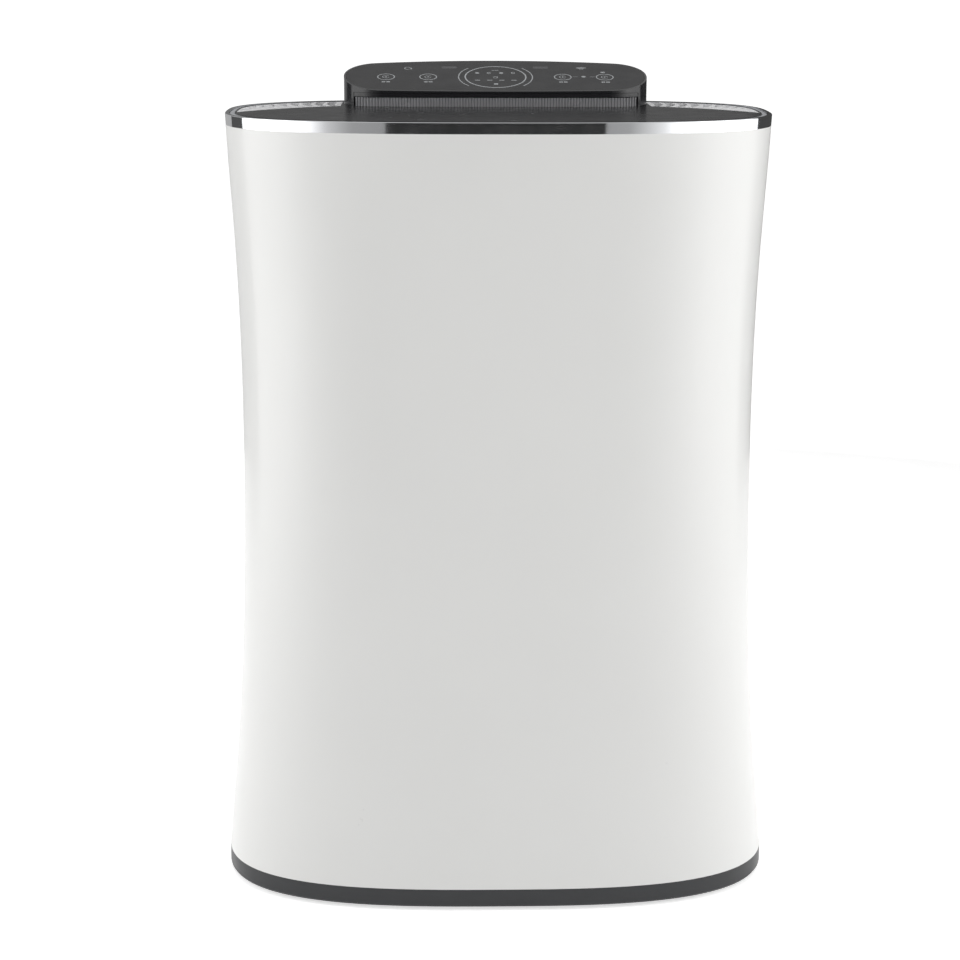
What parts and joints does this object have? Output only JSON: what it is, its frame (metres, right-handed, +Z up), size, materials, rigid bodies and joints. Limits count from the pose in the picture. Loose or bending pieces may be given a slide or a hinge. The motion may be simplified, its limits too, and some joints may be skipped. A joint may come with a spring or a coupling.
{
  "type": "dehumidifier",
  "caption": "Oval waisted floor-standing dehumidifier with a raised touch panel, curved outlet fins on its deck, a rear intake grille and a slide-out water tank.",
  "frame": {"origin": "on the floor, under the middle of the cabinet", "axes": "+Z up; the front faces -Y, the tank slides out towards +Y; +X is to the right seen from the front"},
  "size_m": [0.415, 0.249, 0.6111],
  "materials": {
    "white_shell": "satin white moulded plastic",
    "white_inner": "matte white moulded plastic",
    "charcoal": "matte charcoal plastic",
    "chrome": "polished",
    "light_trim": "satin light grey plastic",
    "deck": "semi-gloss dark grey plastic",
    "fins": "satin grey plastic",
    "pod": "gloss near-black plastic",
    "ribs": "gloss dark grey plastic",
    "panel": "satin dark grey touch plate",
    "rubber": "matte black rubber",
    "smoke": "translucent smoke plastic",
    "steel": "zinc plated steel",
    "black_steel": "black paint",
    "copper": "bare copper",
    "alu": "bare aluminium fins",
    "grey_plastic": "matte grey plastic",
    "mesh": "dark nylon mesh",
    "foam": "white closed-cell foam",
    "board": "green circuit board"
  },
  "bodies": {
    "cabinet": {"air_duct": "charcoal", "base_pan": "charcoal", "capillary_tube": "copper", "case_screws": "steel", "chrome_ring": "chrome", "coil_frame": "steel", "compressor": "black_steel", "compressor_bolts": "steel", "compressor_grommets": "rubber", "condenser": "alu", "control_board": "board", "control_panel": "panel", "deck_trim_ring": "light_trim", "discharge_pipe": "copper", "drain_outlet": "grey_plastic", "drip_hose": "rubber", "drip_tray": "grey_plastic", "electronics_box": "grey_plastic", "electronics_cover": "grey_plastic", "evaporator": "alu", "fan_housing": "grey_plastic", "fan_motor": "steel", "front_shell": "white_shell", "inlet_ring": "grey_plastic", "left_outlet_grille": "fins", "left_side_grip": "white_inner", "main_board": "board", "motor_bracket": "steel", "motor_screws": "steel", "pod_body": "pod", "pod_front_fascia": "pod", "pod_ribbed_band": "ribs", "power_inlet": "charcoal", "rear_shell": "white_shell", "right_outlet_grille": "fins", "right_side_grip": "white_inner", "rubber_feet": "rubber", "seam_flanges": "white_inner", "suction_pipe": "copper", "tank_bay": "grey_plastic", "tank_sensor": "charcoal", "top_deck": "deck"},
    "fan_rotor": {"impeller": "charcoal", "motor_shaft": "steel"},
    "tank": {"water_tank": "smoke", "tank_front": "white_shell", "tank_grip": "charcoal", "tank_lid": "smoke", "float_bracket": "grey_plastic", "float_pin": "steel"},
    "float": {"tank_float": "foam"},
    "grille": {"intake_grille": "white_shell", "filter_frame": "grey_plastic", "filter_mesh": "mesh"},
    "plug": {"drain_plug": "rubber"}
  },
  "joints": [
    {"name": "fan_spin", "type": "hinge", "parent": "cabinet", "child": "fan_rotor", "pos_m": [0, -0.05, 0.372], "axis": [0, 1, 0], "continuous": true},
    {"name": "tank_slide", "type": "slide", "parent": "cabinet", "child": "tank", "axis": [0, 1, 0], "range_m": [0, 0.11]},
    {"name": "float_pivot", "type": "hinge", "parent": "tank", "child": "float", "pos_m": [0.06, 0.036, 0.174], "axis": [1, 0, 0], "range_deg": [0, 34]},
    {"name": "grille_pull", "type": "slide", "parent": "cabinet", "child": "grille", "axis": [0, 1, 0], "range_m": [0, 0.06]},
    {"name": "plug_pull", "type": "slide", "parent": "cabinet", "child": "plug", "axis": [0, 1, 0], "range_m": [0, 0.03]}
  ]
}
